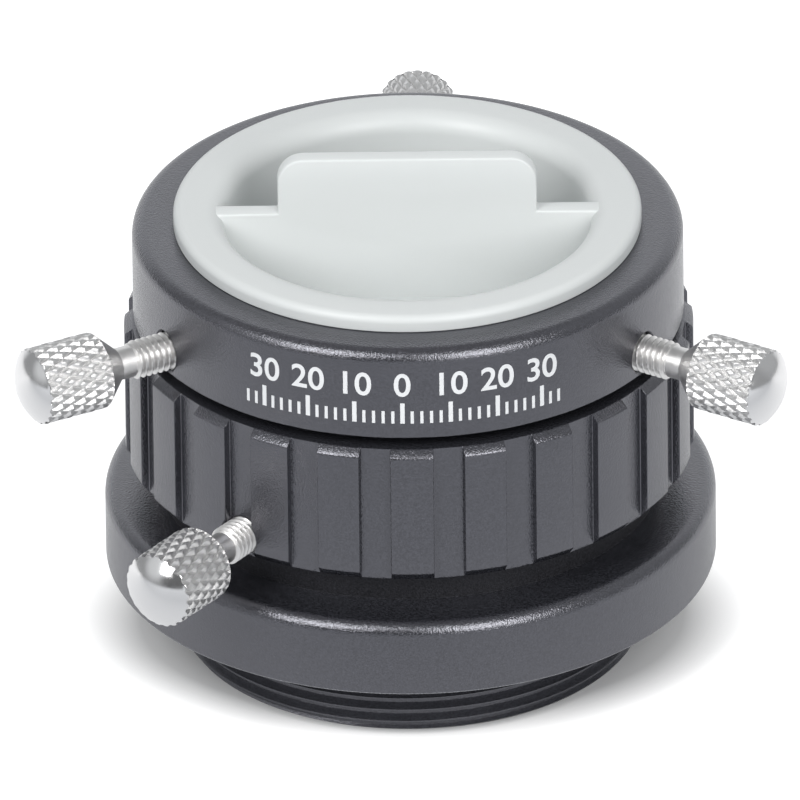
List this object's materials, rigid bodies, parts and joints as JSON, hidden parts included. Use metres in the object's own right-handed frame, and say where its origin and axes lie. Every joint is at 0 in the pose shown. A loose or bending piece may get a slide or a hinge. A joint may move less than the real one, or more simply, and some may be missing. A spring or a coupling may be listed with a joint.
{
  "type": "focusing eyepiece holder",
  "caption": "Helical-focusing eyepiece holder for a telescope: threaded flange, ribbed focus ring, clamp head with thumbscrews and a dust cap.",
  "frame": {"origin": "on the eyepiece axis, in the flange's seating face (the face that meets the telescope's adapter)", "axes": "+Z along the eyepiece axis, the way the eyepiece leaves; the front, where the scale is printed, faces -Y; +X to the right seen from the front"},
  "size_m": [0.0591, 0.0578, 0.0407],
  "materials": {
    "black_anodised": "satin black anodised",
    "black_anodised_ring": "satin black anodised, ribbed",
    "black_anodised_tube": "satin black anodised, threaded",
    "black_anodised_head": "satin black anodised, with a printed scale",
    "ptfe": "sheet, smooth",
    "spring_steel": "drawn wire, oiled",
    "brass": "turned",
    "nickel": "nickel plated, diamond knurl and polished dome",
    "grey_plastic": "moulded, satin"
  },
  "bodies": {
    "base": {"base_flange": "black_anodised", "thrust_washer": "ptfe", "retaining_clip": "spring_steel", "guide_screw": "spring_steel"},
    "focus_ring": {"focus_ring": "black_anodised_ring"},
    "holder": {"focus_tube": "black_anodised_tube", "clamp_head": "black_anodised_head", "compression_ring": "brass"},
    "lock_screw": {"lock_screw": "nickel"},
    "clamp_screw_left": {"clamp_screw_left": "nickel"},
    "clamp_screw_right": {"clamp_screw_right": "nickel"},
    "clamp_screw_back": {"clamp_screw_back": "nickel"},
    "dust_cap": {"dust_cap": "grey_plastic"}
  },
  "joints": [
    {"name": "focus_turn", "type": "hinge", "parent": "base", "child": "focus_ring", "pos_m": [0, 0, 0.0145], "axis": [0, 0, 1], "range_deg": [-2160, 0]},
    {"name": "focus_travel", "type": "slide", "parent": "base", "child": "holder", "axis": [0, 0, 1], "range_m": [0, 0.006]},
    {"name": "clamp_left_travel", "type": "slide", "parent": "holder", "child": "clamp_screw_left", "axis": [-0.8813, -0.4726, 0], "range_m": [-0.00339, 0.0007]},
    {"name": "clamp_right_travel", "type": "slide", "parent": "holder", "child": "clamp_screw_right", "axis": [0.8499, -0.527, 0], "range_m": [-0.00295, 0.00114]},
    {"name": "clamp_back_travel", "type": "slide", "parent": "holder", "child": "clamp_screw_back", "axis": [0.0314, 0.9995, 0], "range_m": [-0.00005, 0.00404]},
    {"name": "lock_travel", "type": "slide", "parent": "focus_ring", "child": "lock_screw", "axis": [-0.6046, -0.7965, 0], "range_m": [-0.00018, 0.0012]},
    {"name": "cap_lift", "type": "slide", "parent": "holder", "child": "dust_cap", "axis": [0, 0, 1], "range_m": [0, 0.05]}
  ],
  "couplings": [
    {"joint": "focus_travel", "follows": "focus_turn", "m_per_rad": -0.00015915}
  ]
}
